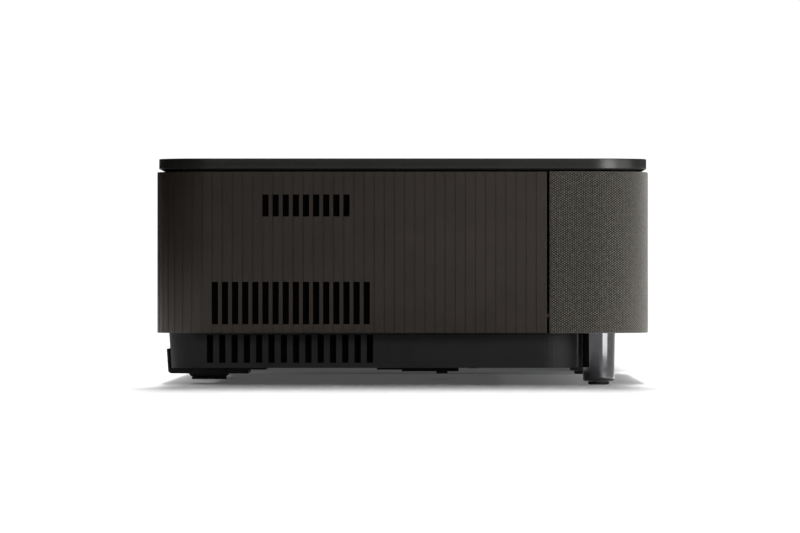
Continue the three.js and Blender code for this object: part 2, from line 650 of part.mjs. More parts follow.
function speakerBox(side) {
  const { halfX, front, back, z0, z1, driverZ, wall } = SPEAKER;
  const x = side * SPEAKER.x;
  return cut(
    block(x - halfX, x + halfX, front, back, z0, z1),
    block(x - halfX + wall, x + halfX - wall, front + wall, back - wall, z0 + wall, z1 - wall),
    bar('y', 34, front - 5, front + 5, [x + side * 14, 0, driverZ], 28),
    bar('y', 11, front - 5, front + 5, [x - side * 46, 0, driverZ + 24]));
}

const woofer = (side) => turned('y', [
  [0, 8], [9, 6], [12, 12], [31, 1.2], [34, -1], [37, 1.6], [40, 1.6], [40, 3.4], [33, 3.4], [14, 20],
  [24, 21], [24, 36], [0, 36],
], [side * (SPEAKER.x + 14), SPEAKER.front - 3.4 - GAP, SPEAKER.driverZ]);

const tweeter = (side) => turned('y', [
  [0, 0], [5, 0.8], [8, 2.6], [13, 1.8], [13, 3.4], [10, 3.4], [10, 12], [0, 12],
], [side * (SPEAKER.x - 46), SPEAKER.front - 3.4 - GAP, SPEAKER.driverZ + 24], 20);

// A recessed tray in the back wall, with a hole for each socket.
function ioPanel() {
  const { x0, x1, z0, z1, back, wall } = PANEL;
  const tray = cut(
    block(x0 + GAP, x1 - GAP, back, DEPTH / 2 - 1, z0 + GAP, z1 - GAP),
    block(x0 + wall + GAP, x1 - wall - GAP, back + wall, DEPTH, z0 + wall + GAP, z1 - wall - GAP));
  const holes = Object.values(SOCKETS).map((s) => socketBlock(s, s.rim + GAP, 0, DEPTH));
  return cut(tray, ...holes);
}

function socketBlock(s, grow, y0, y1) {
  const halfX = s.width / 2 + grow;
  const halfZ = s.height / 2 + grow;
  return block(s.x - halfX, s.x + halfX, y0, y1, s.z - halfZ, s.z + halfZ);
}

const socket = (s) => cut(
  socketBlock(s, s.rim, SOCKET.front, SOCKET.mouth),
  socketBlock(s, 0, SOCKET.front + SOCKET.floor, SOCKET.mouth + 5));

// The mains inlet, with three short blades at the bottom of its hollow.
function powerInlet() {
  const s = SOCKETS.power_inlet;
  const blades = [[-7, -2.5], [0, 2.5], [7, -2.5]].map(([dx, dz]) =>
    block(s.x + dx - 1, s.x + dx + 1, SOCKET.front + 1, SOCKET.front + 8, s.z + dz - 2, s.z + dz + 2));
  return join(socket(s), ...blades);
}

function powerButton() {
  const collar = BUTTON.r + 2.4;
  return turned('x', [
    [0, -6.6], [collar, -6.6], [collar, -4.4],
    [BUTTON.r, -4.4], [BUTTON.r, -0.6], [BUTTON.r - 0.5, -0.2], [0, -0.2],
  ], [WIDTH / 2, BUTTON.y, BUTTON.z]);
}

// Legs and feet --------------------------------------------------------------------------------------

function frontLeg(side) {
  const centre = [side * LEG.x, LEG.y, 0];
  const top = FLANGE.low - GAP;
  return cut(
    turned('z', [[0, LEG.low], [LEG.lowR, LEG.low], [LEG.topR, top], [0, top]], centre, 40),
    bar('z', STUD.r + RUNNING, 0, STUD.top + 6, centre));
}

// A rubber pad with a socket for its stud.
const pad = (r, top, x, y) => turned('z', [
  [0, 0], [r - 0.6, 0], [r, 0.6], [r, top], [STUD.r + RUNNING, top], [STUD.r + RUNNING, 1.2], [0, 1.2],
], [x, y, 0]);

const stud = (x, y) => bar('z', STUD.r, STUD.low, STUD.top, [x, y, 0]);

// The single foot at the middle of the back, with a rubber sole.
function rearFoot() {
  const { halfX, front, back, slope, depth, pad: sole } = REAR_FOOT;
  const top = BASE.low - GAP;
  const shoulder = BASE.low - depth;
  return prism('x', [
    [front, top], [front, shoulder], [front + slope, sole + GAP],
    [back - slope, sole + GAP], [back, shoulder], [back, top],
  ], -halfX, halfX);
}

function rearSole() {
  const halfX = REAR_FOOT.halfX - 3;
  const inset = REAR_FOOT.slope + 0.6;
  return prism('z', roundedOutline(
    -halfX, halfX, REAR_FOOT.front + inset, REAR_FOOT.back - inset, 3, 3, 4), 0, REAR_FOOT.pad);
}

// A stepped plate under a back corner, with a lip turned up behind the tub.
function rearBracket(side) {
  const { x0, x1, low, step, front, back, lip, thick, lean } = BRACKET;
  const top = BASE.low - GAP;
  const tongue = front - 12;
  return prism('x', [
    [tongue, step], [front, step], [front, low], [back - lean, low], [back + thick - lean, low + thick],
    [back + thick, lip], [back, lip], [back - lean, top], [tongue, top],
  ], side > 0 ? x0 : -x1, side > 0 ? x1 : -x0);
}

// Assembly -------------------------------------------------------------------------------------------

const palette = {
  wrap: ['#322e2b', 0.55, 0],
  cloth: ['#3a3833', 0.9, 0],
  lid: ['#2b2b2a', 0.35, 0],
  black: ['#1c1c1c', 0.6, 0],
  board: ['#12402a', 0.5, 0],
  steel: ['#8f9092', 0.35, 1],
  aluminium: ['#a9abad', 0.4, 1],
  copper: ['#b0693f', 0.35, 1],
  leg: ['#5a5a5c', 0.25, 1],
  glass: ['#20262c', 0.05, 0],
  mirror: ['#c8ccd0', 0.05, 1],
  phosphor: ['#d8c23a', 0.5, 0],
  rubber: ['#141414', 0.9, 0],
  white: ['#c9c8c2', 0.5, 0],
};

const part = new THREE.Group();
part.name = 'home_projector';

function add(name, finish, geometry) {
  const [color, roughness, metalness] = palette[finish];
  geometry.computeVertexNormals();
  const mesh = new THREE.Mesh(geometry, new THREE.MeshStandardMaterial({ color, roughness, metalness }));
  mesh.name = name;
  part.add(mesh);
}

add('base_chassis', 'black', baseChassis());
add('underside_hatch', 'black', undersideHatch());
add('rear_wrap_cover', 'wrap', rearWrapCover());
add('grille_frame', 'black', grilleFrame());
add('grille_fabric', 'cloth', grilleFabric());
add('top_deck', 'black', topDeck());
add('top_lid', 'lid', topLid());
add('status_window', 'glass', statusWindow());
add('lens_shutter', 'lid', lensShutter());
add('shutter_rack', 'white', shutterRack());
add('shutter_pinion', 'white', shutterPinion());
add('shutter_motor', 'steel', shutterMotor());
add('lens_well', 'black', lensWell());
add('projection_window', 'glass', projectionWindow());
add('projection_mirror', 'mirror', projectionMirror());
add('lens_barrel', 'black', lensBarrel());
add('front_lens', 'glass', frontLens());
add('focus_ring', 'white', focusRing());
add('focus_pinion', 'white', focusPinion());
add('focus_motor', 'steel', focusMotor());
add('prism_block', 'glass', prismBlock());
add('lcd_red', 'steel', lcdSide(-1));
add('lcd_green', 'steel', lcdGreen());
add('lcd_blue', 'steel', lcdSide(1));
add('laser_module', 'aluminium', laserModule());
add('phosphor_wheel', 'phosphor', phosphorWheel());
add('wheel_motor', 'steel', wheelMotor());
add('laser_heatsink', 'aluminium', laserHeatsink());
add('heat_pipe', 'copper', heatPipe());
add('exhaust_fan_frame', 'black', fanFrame(EXHAUST, 1));
add('exhaust_fan_rotor', 'black', fanRotor(EXHAUST, 1));
add('intake_fan_frame', 'black', fanFrame(INTAKE, -1));
add('intake_fan_rotor', 'black', fanRotor(INTAKE, -1));
add('filter_cover', 'wrap', filterCover());
add('air_filter', 'white', airFilter());
add('main_board', 'board', mainBoard());
add('processor_heatsink', 'aluminium', processorHeatsink());
add('power_supply', 'steel', powerSupply());
add('io_panel', 'black', ioPanel());
add('hdmi_port_1', 'steel', socket(SOCKETS.hdmi_port_1));
add('hdmi_port_2', 'steel', socket(SOCKETS.hdmi_port_2));
add('usb_port', 'steel', socket(SOCKETS.usb_port));
add('power_inlet', 'black', powerInlet());
add('power_button', 'black', powerButton());
add('rear_foot', 'black', rearFoot());
add('rear_foot_sole', 'rubber', rearSole());
for (const [hand, side] of Object.entries(sides)) {
  const legX = side * LEG.x;
  add(`speaker_box_${hand}`, 'black', speakerBox(side));
  add(`woofer_${hand}`, 'rubber', woofer(side));
  add(`front_leg_${hand}`, 'leg', frontLeg(side));
  add(`front_pad_${hand}`, 'rubber', pad(FRONT_PAD_R, LEG.low - GAP, legX, LEG.y));
  add(`front_stud_${hand}`, 'steel', stud(legX, LEG.y));
  add(`rear_bracket_${hand}`, 'black', rearBracket(side));
  add(`tweeter_${hand}`, 'steel', tweeter(side));
}

export default part;
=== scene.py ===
"""The looks of an ultra-short-throw home projector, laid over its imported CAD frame.

Metres, +Z up. The cloth front faces -Y, and the camera looks along +X at the left side.
"""

import json
import math

import bmesh
import bpy
from mathutils import Matrix, Vector


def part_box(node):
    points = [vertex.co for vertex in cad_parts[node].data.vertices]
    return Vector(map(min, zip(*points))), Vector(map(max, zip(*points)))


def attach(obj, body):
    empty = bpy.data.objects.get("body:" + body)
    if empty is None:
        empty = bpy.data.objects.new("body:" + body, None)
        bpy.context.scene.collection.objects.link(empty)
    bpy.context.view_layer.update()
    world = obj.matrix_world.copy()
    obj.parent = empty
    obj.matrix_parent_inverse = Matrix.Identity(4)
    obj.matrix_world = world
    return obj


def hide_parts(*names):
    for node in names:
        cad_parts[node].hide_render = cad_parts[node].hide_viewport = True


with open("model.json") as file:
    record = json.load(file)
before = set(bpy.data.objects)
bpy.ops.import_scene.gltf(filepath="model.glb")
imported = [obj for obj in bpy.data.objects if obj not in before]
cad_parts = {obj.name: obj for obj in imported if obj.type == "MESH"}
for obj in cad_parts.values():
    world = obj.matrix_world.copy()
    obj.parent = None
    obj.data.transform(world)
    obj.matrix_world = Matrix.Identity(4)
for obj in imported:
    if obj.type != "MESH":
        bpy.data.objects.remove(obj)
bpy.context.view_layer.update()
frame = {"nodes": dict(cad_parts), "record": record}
nodes = frame["nodes"]

MM = 0.001
CABINET = "cabinet"
SIDES = {"left": -1, "right": 1}

# The cabinet's outline. Its box comes from the frame, and its radii and seam are the CAD's.
wrap_low, wrap_high = (Vector(p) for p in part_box("rear_wrap_cover"))
cloth_low, cloth_high = (Vector(p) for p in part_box("grille_fabric"))
lid_low, lid_high = (Vector(p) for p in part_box("top_lid"))
HALF_WIDTH = wrap_high.x
BACK = wrap_high.y
FRONT = cloth_low.y
BODY_LOW = wrap_low.z
BODY_TOP = wrap_high.z
SEAM_BACK = -99.7 * MM  # the wrap's front edge
SEAM_FRONT = cloth_high.y  # the cloth's back edge
REAR_CORNER = 38 * MM
FRONT_CORNER = 42 * MM
WALL = 2.6 * MM
BASE_HALF_WIDTH = 336 * MM

# The ribs and the slots between them, as in the CAD.
RIB_PITCH = 6.99 * MM
FIRST_RIB = 131.7 * MM
SIDE_RIBS = 33
SLOT_WIDTH = 4.4 * MM
LOW_VENT = dict(first=0, slots=16, z0=41.9 * MM, z1=71.2 * MM)
HIGH_VENT = dict(first=5, slots=9, z0=116.4 * MM, z1=131.6 * MM)


# Meshes ----------------------------------------------------------------------------------------------


def link(obj):
    bpy.context.scene.collection.objects.link(obj)
    return obj


def mesh_object(name, mesh, finish):
    """An object made from a bmesh, and dressed."""
    data = bpy.data.meshes.new(name)
    mesh.to_mesh(data)
    mesh.free()
    obj = link(bpy.data.objects.new(name, data))
    obj.data.materials.append(finish)
    return obj


def piece(name, mesh, finish, body=CABINET, replaces=()):
    """A piece of the object, made from a bmesh, dressed, shaded, and riding on its body."""
    bmesh.ops.recalc_face_normals(mesh, faces=mesh.faces)
    obj = mesh_object(name, mesh, finish)
    smooth_by_angle(obj)
    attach(obj, body)
    if replaces:
        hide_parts(*replaces)
    return obj


def smoothing_group():
    """Geometry nodes that shade every face smooth and keep edges over 32 degrees sharp."""
    group = bpy.data.node_groups.new("smooth_by_angle", "GeometryNodeTree")
    group.interface.new_socket("Geometry", in_out="INPUT", socket_type="NodeSocketGeometry")
    group.interface.new_socket("Geometry", in_out="OUTPUT", socket_type="NodeSocketGeometry")
    start = group.nodes.new("NodeGroupInput")
    end = group.nodes.new("NodeGroupOutput")
    faces = group.nodes.new("GeometryNodeSetShadeSmooth")
    edges = group.nodes.new("GeometryNodeSetShadeSmooth")
    edges.domain = "EDGE"
    edges.inputs["Shade Smooth"].default_value = False
    angle = group.nodes.new("GeometryNodeInputMeshEdgeAngle")
    sharp = group.nodes.new("FunctionNodeCompare")
    sharp.inputs["B"].default_value = math.radians(32)
    group.links.new(angle.outputs["Unsigned Angle"], sharp.inputs["A"])
    group.links.new(start.outputs[0], faces.inputs["Geometry"])
    group.links.new(faces.outputs[0], edges.inputs["Geometry"])
    group.links.new(sharp.outputs[0], edges.inputs["Selection"])
    group.links.new(edges.outputs[0], end.inputs[0])
    return group


SMOOTHING = smoothing_group()


def smooth_by_angle(obj):
    obj.modifiers.new("smooth", "NODES").node_group = SMOOTHING


def bevel(obj, width):
    """Rounds an object's sharp edges, before they are shaded."""
    rounding = obj.modifiers.new("bevel", "BEVEL")
    rounding.width = width
    rounding.segments = 2
    rounding.limit_method = "ANGLE"
    rounding.angle_limit = math.radians(40)
    obj.modifiers.move(len(obj.modifiers) - 1, 0)
    return obj


def add_block(mesh, low, high):
    """Adds a box between two corners to a bmesh."""
    size = Vector(high) - Vector(low)
    middle = (Vector(high) + Vector(low)) / 2
    bmesh.ops.create_cube(mesh, matrix=Matrix.Translation(middle) @ Matrix.Diagonal((*size, 1)))
    return mesh


def blocks(*corners):
    mesh = bmesh.new()
    for low, high in corners:
        add_block(mesh, low, high)
    return mesh


def loft(rings, closed=False):
    """A bmesh through rings of points that have equal counts, capped at both ends unless it is closed."""
    mesh = bmesh.new()
    rows = [[mesh.verts.new(p) for p in ring] for ring in rings]
    if closed:
        rows.append(rows[0])
    for below, above in zip(rows, rows[1:]):
        for i in range(len(below)):
            j = (i + 1) % len(below)
            mesh.faces.new((below[i], below[j], above[j], above[i]))
    if not closed:
        mesh.faces.new(rows[0])
        mesh.faces.new(rows[-1])
    return mesh


def lathe(profile, centre, axis="Z", steps=96):
    """A bmesh turned from (radius, height) pairs. Points with no radius lie on the axis."""
    mesh = bmesh.new()
    spin = [(math.cos(2 * math.pi * i / steps), math.sin(2 * math.pi * i / steps)) for i in range(steps)]
    rows = [
        [mesh.verts.new((r * c, r * s, h)) for c, s in spin] if r else [mesh.verts.new((0, 0, h))]
        for r, h in profile
    ]
    for below, above in zip(rows, rows[1:]):
        for i in range(steps):
            j = (i + 1) % steps
            corners = (
                below[i % len(below)], below[j % len(below)],
                above[j % len(above)], above[i % len(above)],
            )
            mesh.faces.new(list(dict.fromkeys(corners)))
    turn = Matrix.Identity(4)
    if axis == "X":
        turn = Matrix.Rotation(math.radians(90), 4, "Y")
    if axis == "Y":
        turn = Matrix.Rotation(math.radians(-90), 4, "X")
    bmesh.ops.transform(mesh, matrix=Matrix.Translation(centre) @ turn, verts=mesh.verts)
    return mesh


def rounded_ring(x0, x1, y0, y1, front_r, rear_r, z, steps=32):
    """A level rectangle with rounded corners, as points."""
    corners = (
        (x1 - front_r, y0 + front_r, front_r, -90),
        (x1 - rear_r, y1 - rear_r, rear_r, 0),
        (x0 + rear_r, y1 - rear_r, rear_r, 90),
        (x0 + front_r, y0 + front_r, front_r, 180),
    )
    ring = []
    for x, y, r, start in corners:
        for i in range(steps + 1):
            angle = math.radians(start + 90 * i / steps)
            ring.append((x + r * math.cos(angle), y + r * math.sin(angle), z))
    return ring


def plan_ring(inset, z):
    """The cabinet's outline at one height, moved in."""
    return rounded_ring(
        inset - HALF_WIDTH, HALF_WIDTH - inset, FRONT + inset, BACK - inset,
        FRONT_CORNER - inset, REAR_CORNER - inset, z)


def carve(obj, tool, operation="DIFFERENCE"):
    """Cuts a bmesh out of an object's mesh, or keeps what they share."""
    bmesh.ops.recalc_face_normals(tool, faces=tool.faces)
    data = bpy.data.meshes.new("tool")
    tool.to_mesh(data)
    tool.free()
    cutter = link(bpy.data.objects.new("tool", data))
    obj.modifiers.clear()
    boolean = obj.modifiers.new("boolean", "BOOLEAN")
    boolean.object = cutter
    boolean.operation = operation
    boolean.solver = "EXACT"
    shape = bpy.data.meshes.new_from_object(obj.evaluated_get(bpy.context.evaluated_depsgraph_get()))
    obj.modifiers.clear()
    obj.data = shape
    smooth_by_angle(obj)
    bpy.data.objects.remove(cutter)
    return obj


class Rail:
    """The cabinet's outer face from above: along the left side, round one end, and back on the right."""

    def __init__(self, start, end, corner):
        self.sign = 1 if end > start else -1
        self.start, self.end, self.corner = start, end, corner
        self.side = abs(end - start) - corner
        self.arc = corner * math.pi / 2
        self.across = 2 * (HALF_WIDTH - corner)
        self.length = 2 * (self.side + self.arc) + self.across

    def at(self, run):
        """The point and outward normal at a distance along the rail."""
        if run > self.length / 2:
            point, normal = self.at(self.length - run)
            return Vector((-point.x, point.y)), Vector((-normal.x, normal.y))
        if run <= self.side:
            return Vector((-HALF_WIDTH, self.start + self.sign * run)), Vector((-1, 0))
        inner_x = self.corner - HALF_WIDTH
        angle = min((run - self.side) / self.corner, math.pi / 2)
        normal = Vector((-math.cos(angle), self.sign * math.sin(angle)))
        centre = Vector((inner_x, self.end - self.sign * self.corner))
        past = max(run - self.side - self.arc, 0)
        return centre + self.corner * normal + Vector((past, 0)), normal

    def bends(self, step):
        """Evenly spaced runs round the two corners."""
        count = math.ceil(self.arc / step)
        first = [self.side + self.arc * i / count for i in range(count + 1)]
        return first + [self.length - run for run in reversed(first)]


def sweep(rail, stations, profile):
    """A bmesh of a profile of (inset, z) pairs carried along a rail.

    stations are (run, depth) pairs. depth sinks the part of the profile that is less than half a wall in.
    """
    mesh = bmesh.new()
    uv = mesh.loops.layers.uv.new("UVMap")
    heights = [0.0]
    for (a, z0), (b, z1) in zip(profile, profile[1:]):
        heights.append(heights[-1] + math.hypot(b - a, z1 - z0))
    columns = []
    for run, depth in stations:
        point, normal = rail.at(run)
        column = []
        for (inset, z), height in zip(profile, heights):
            sunk = inset + depth if inset < WALL / 2 else inset
            column.append((mesh.verts.new((*(point - sunk * normal), z)), run, height))
        columns.append(column)
    for left, right in zip(columns, columns[1:]):
        for k in range(len(profile) - 1):
            corners = (left[k], right[k], right[k + 1], left[k + 1])
            face = mesh.faces.new([corner[0] for corner in corners])
            for loop, (_, run, height) in zip(face.loops, corners):
                loop[uv].uv = (run, height)
    return mesh


# Finishes --------------------------------------------------------------------------------------------


class Finish:
    """A Principled material with short ways to add procedural detail, all in object coordinates."""

    def __init__(self, name, color, roughness, metallic=0.0, specular=0.5):
        self.material = bpy.data.materials.new(name)
        self.material.use_nodes = True
        self.tree = self.material.node_tree
        self.shader = self.tree.nodes["Principled BSDF"]
        self.shader.inputs["Base Color"].default_value = (*color, 1)
        self.shader.inputs["Roughness"].default_value = roughness
        self.shader.inputs["Metallic"].default_value = metallic
        self.shader.inputs["Specular IOR Level"].default_value = specular
        self.place = self.node("ShaderNodeTexCoord").outputs["Object"]

    def node(self, kind, **inputs):
        made = self.tree.nodes.new(kind)
        for name, value in inputs.items():
            self.feed(value, made.inputs[name.replace("_", " ")])
        return made

    def feed(self, value, socket):
        if isinstance(value, bpy.types.NodeSocket):
            self.tree.links.new(value, socket)
        else:
            socket.default_value = value

    def math(self, operation, a, b=0.0):
        made = self.tree.nodes.new("ShaderNodeMath")
        made.operation = operation
        self.feed(a, made.inputs[0])
        self.feed(b, made.inputs[1])
        return made.outputs[0]

    def noise(self, size, detail=2.0, stretch=(1, 1, 1)):
        """Noise with features of about `size` metres, drawn out along an axis by `stretch`."""
        scaled = self.node("ShaderNodeMapping", Vector=self.place)
        scaled.inputs["Scale"].default_value = [1 / (size * s) for s in stretch]
        made = self.node("ShaderNodeTexNoise", Vector=scaled.outputs[0], Scale=1.0, Detail=detail)
        return made.outputs["Fac"]

    def ramp(self, factor, low, high, start=0.3, end=0.7):
        """A value that runs from low to high as the factor goes from start to end."""
        made = self.node("ShaderNodeMapRange", Value=factor)
        made.inputs["From Min"].default_value = start
        made.inputs["From Max"].default_value = end
        made.inputs["To Min"].default_value = low
        made.inputs["To Max"].default_value = high
        return made.outputs[0]

    def mix(self, factor, a, b):
        made = self.tree.nodes.new("ShaderNodeMix")
        made.data_type = "RGBA"
        self.feed(factor, made.inputs["Factor"])
        for value, socket in ((a, made.inputs[6]), (b, made.inputs[7])):
            self.feed(value if isinstance(value, bpy.types.NodeSocket) else (*value, 1), socket)
        return made.outputs[2]

    def color(self, socket):
        self.feed(socket, self.shader.inputs["Base Color"])

    def roughness(self, socket):
        self.feed(socket, self.shader.inputs["Roughness"])

    def bump(self, height, distance, strength=1.0):
        """Adds relief, on top of any that is already there."""
        made = self.node("ShaderNodeBump", Height=height, Distance=distance, Strength=strength)
        before = self.shader.inputs["Normal"]
        if before.is_linked:
            self.feed(before.links[0].from_socket, made.inputs["Normal"])
        self.feed(made.outputs[0], before)


def moulded(name, dark, light, roughness, specular, grain=0.35 * MM):
    """Moulded plastic: a fine spark-eroded grain, faint mottling, and gloss that varies a little."""
    finish = Finish(name, light, roughness, specular=specular)
    speckle = finish.noise(grain, 3)
    cloud = finish.noise(22 * MM, 3)
    finish.color(finish.mix(finish.ramp(cloud, 0, 1), dark, light))
    finish.roughness(finish.ramp(speckle, roughness - 0.06, roughness + 0.08))
    finish.bump(speckle, 0.04 * MM, 0.5)
    return finish


def wrap_plastic():
    finish = moulded("wrap_plastic", (0.02, 0.0155, 0.0126), (0.024, 0.0188, 0.0155), 0.5, 0.2)
    streaks = finish.noise(1.6 * MM, 2, (1, 1, 60))
    finish.bump(streaks, 0.02 * MM, 0.3)
    return finish.material


def lid_plastic():
    dark, light = (0.0115, 0.0118, 0.0108), (0.0145, 0.0148, 0.0136)
    return moulded("lid_plastic", dark, light, 0.3, 0.34, 0.25 * MM).material


def black_plastic():
    return moulded("black_plastic", (0.0065, 0.0065, 0.0065), (0.0095, 0.0095, 0.0095), 0.6, 0.13).material


def shade_black():
    """Near black, for sheets that paint the shade behind the vents, the seams and the lid's gap, and for
    the studio's black cards.
    """
    finish = Finish("shade_black", (0.0015, 0.0015, 0.0015), 1.0, specular=0.0)
    blotch = finish.noise(0.5 * MM, 2)
    finish.color(finish.mix(blotch, (0.001, 0.001, 0.001), (0.003, 0.003, 0.003)))
    finish.bump(blotch, 0.2 * MM)
    return finish.material


def woven_cloth():
    """Plain weave of a light warp and a dark weft, in coordinates that run along and up the sheet, with
    painted shade where the yarn dips between threads.
    """
    finish = Finish("grille_cloth", (0.03, 0.03, 0.03), 0.85, specular=0.2)
    warp_pitch, weft_pitch = 1.24 * MM, 0.82 * MM
    flat = finish.node("ShaderNodeSeparateXYZ", Vector=finish.node("ShaderNodeUVMap").outputs[0])
    wobble = finish.ramp(finish.noise(9 * MM, 2), -0.18, 0.18, 0, 1)
    across = finish.math("ADD", finish.math("DIVIDE", flat.outputs["X"], warp_pitch), wobble)
    up = finish.math("ADD", finish.math("DIVIDE", flat.outputs["Y"], weft_pitch), wobble)
    warp = finish.math("ABSOLUTE", finish.math("SINE", finish.math("MULTIPLY", across, math.pi)))
    weft = finish.math("ABSOLUTE", finish.math("SINE", finish.math("MULTIPLY", up, math.pi)))
    cell = finish.math("ADD", finish.math("FLOOR", across), finish.math("FLOOR", up))
    weft_on_top = finish.math("FLOORED_MODULO", cell, 2)
    low_warp = finish.math("MULTIPLY", warp, finish.ramp(weft_on_top, 1, 0.4, 0, 1))
    low_weft = finish.math("MULTIPLY", weft, finish.ramp(weft_on_top, 0.4, 1, 0, 1))
    height = finish.math("MAXIMUM", low_warp, low_weft)
    warp_shows = finish.math("GREATER_THAN", low_warp, low_weft)
    fleck = finish.noise(2.2 * MM, 3)
    light = finish.mix(finish.ramp(fleck, 0, 1), (0.056, 0.0515, 0.0425), (0.115, 0.1065, 0.088))
    dark = finish.mix(finish.ramp(fleck, 0, 1), (0.0025, 0.0024, 0.0021), (0.007, 0.0066, 0.006))
    yarn = finish.mix(warp_shows, dark, light)
    # Painted shade: the yarn darkens to near black where it dips low, in the gaps between and under the
    # threads.
    finish.color(finish.mix(finish.ramp(height, 0, 1, 0.15, 0.75), (0.003, 0.003, 0.003), yarn))
    finish.bump(height, 0.22 * MM, 0.8)
    finish.bump(finish.noise(0.12 * MM, 2, (1, 1, 6)), 0.03 * MM, 0.5)
    finish.shader.inputs["Sheen Weight"].default_value = 0.38
    finish.shader.inputs["Sheen Roughness"].default_value = 0.45
    finish.shader.inputs["Sheen Tint"].default_value = (0.85, 0.83, 0.78, 1)
    return finish.material


def polished_leg():
    """Dark polished metal with faint turning marks."""
    finish = Finish("leg_metal", (0.08, 0.08, 0.083), 0.09, metallic=1.0)
    marks = finish.noise(0.25 * MM, 2, (40, 40, 1))
    cloud = finish.noise(6 * MM, 3)
    finish.roughness(finish.ramp(cloud, 0.07, 0.12))
    finish.color(finish.mix(finish.ramp(cloud, 0, 1), (0.07, 0.07, 0.073), (0.085, 0.085, 0.088)))
    finish.bump(marks, 0.002 * MM, 0.3)
    return finish.material


def rubber():
    finish = Finish("rubber", (0.008, 0.008, 0.008), 0.85, specular=0.2)
    dust = finish.noise(3 * MM, 4)
    finish.color(finish.mix(finish.ramp(dust, 0, 1), (0.006, 0.006, 0.006), (0.014, 0.0135, 0.013)))
    finish.bump(finish.noise(0.3 * MM, 2), 0.05 * MM)
    return finish.material


def metal(name, color, roughness, grain_axis=(1, 30, 1)):
    """Rolled or cast metal with a directional grain."""
    finish = Finish(name, color, roughness, metallic=1.0)
    lines = finish.noise(0.4 * MM, 3, grain_axis)
    finish.roughness(finish.ramp(lines, roughness - 0.08, roughness + 0.12))
    finish.color(finish.mix(finish.ramp(lines, 0, 1), tuple(0.8 * c for c in color), color))
    finish.bump(lines, 0.02 * MM, 0.5)
    return finish.material


def clear_glass():
    """Coated glass: clear, with a faint coloured sheen and a trace of dust."""
    roughness = 0.03
    finish = Finish("clear_glass", (0.5, 0.55, 0.62), roughness, specular=0.6)
    dust = finish.noise(5 * MM, 4)
    finish.roughness(finish.ramp(dust, roughness, roughness + 0.06))
    finish.shader.inputs["Transmission Weight"].default_value = 0.75
    finish.shader.inputs["Coat Weight"].default_value = 0.5
    finish.shader.inputs["Coat Tint"].default_value = (0.6, 0.7, 1.0, 1)
    return finish.material


def circuit_board():
    """Green solder mask over copper tracks, with paler pads."""
    finish = Finish("circuit_board", (0.01, 0.07, 0.03), 0.4)
    tracks = finish.node("ShaderNodeTexBrick", Vector=finish.place, Scale=140.0)
    tracks.inputs["Mortar Size"].default_value = 0.03
    pads = finish.node("ShaderNodeTexVoronoi", Vector=finish.place, Scale=160.0)
    copper = finish.mix(tracks.outputs["Fac"], (0.006, 0.05, 0.02), (0.02, 0.12, 0.05))
    spots = finish.math("LESS_THAN", pads.outputs["Distance"], 0.12)
    finish.color(finish.mix(spots, copper, (0.45, 0.36, 0.16)))
    finish.bump(tracks.outputs["Fac"], 0.03 * MM)
    return finish.material


def white_plastic():
    return moulded("white_plastic", (0.5, 0.49, 0.45), (0.62, 0.61, 0.57), 0.45, 0.4).material


def phosphor():
    finish = Finish("phosphor", (0.6, 0.5, 0.06), 0.7)
    powder = finish.noise(0.3 * MM, 3)
    finish.color(finish.mix(powder, (0.5, 0.4, 0.04), (0.75, 0.66, 0.12)))
    finish.bump(powder, 0.03 * MM)
    return finish.material


FINISHES = {
    "wrap_plastic": wrap_plastic(),
    "grille_cloth": woven_cloth(),
    "lid_plastic": lid_plastic(),
    "black_plastic": black_plastic(),
    "clear_glass": clear_glass(),
    "white_plastic": white_plastic(),
    "steel": metal("steel", (0.42, 0.42, 0.43), 0.35),
    "mirror_coating": metal("mirror_coating", (0.88, 0.9, 0.92), 0.1, (1, 1, 1)),
    "aluminium": metal("aluminium", (0.6, 0.61, 0.62), 0.38),
    "phosphor": phosphor(),
    "copper": metal("copper", (0.62, 0.3, 0.17), 0.3),
    "circuit_board": circuit_board(),
    "leg_metal": polished_leg(),
    "rubber": rubber(),
}
# Painted shade: near-black sheets behind the vents, the seams and the lid's gap. The studio's black cards
# use it too.
SHADE_BLACK = shade_black()


def dress_cad_nodes():
    """Gives every CAD node its slot's finish and smooth shading, and rounds the edges of a few."""
    for part in frame["record"]["subparts"]:
        obj = nodes[part["node"]]
        obj.data.materials.clear()
        obj.data.materials.append(FINISHES[part["material_slot"]])
        smooth_by_angle(obj)
    for name in ("base_chassis", "rear_foot", "rear_bracket_left", "rear_bracket_right", "underside_hatch"):
        bevel(nodes[name], 0.3 * MM)


# Cabinet ---------------------------------------------------------------------------------------------


def rib_runs(rail):
    """Where the grooves are along the rail, symmetrical left and right."""
    first = FIRST_RIB - SEAM_BACK
    side = [first - i * RIB_PITCH for i in range(SIDE_RIBS)]
    around = rail.length / 2 - first
    count = round(around / RIB_PITCH)
    pitch = around / (count + 0.5)
    half = sorted(side + [first + i * pitch for i in range(1, count + 1)])
    return half + [rail.length - run for run in reversed(half)]


def slot_boxes(side, vent, skipped=0):
    """The slots of a vent in one side wall, from the back, with the first few left out."""
    x = side * HALF_WIDTH
    reach = 6 * MM
    for i in range(vent["first"] + skipped, vent["first"] + vent["slots"]):
        back = FIRST_RIB - i * RIB_PITCH
        yield (x - reach, back - SLOT_WIDTH, vent["z0"]), (x + reach, back, vent["z1"])


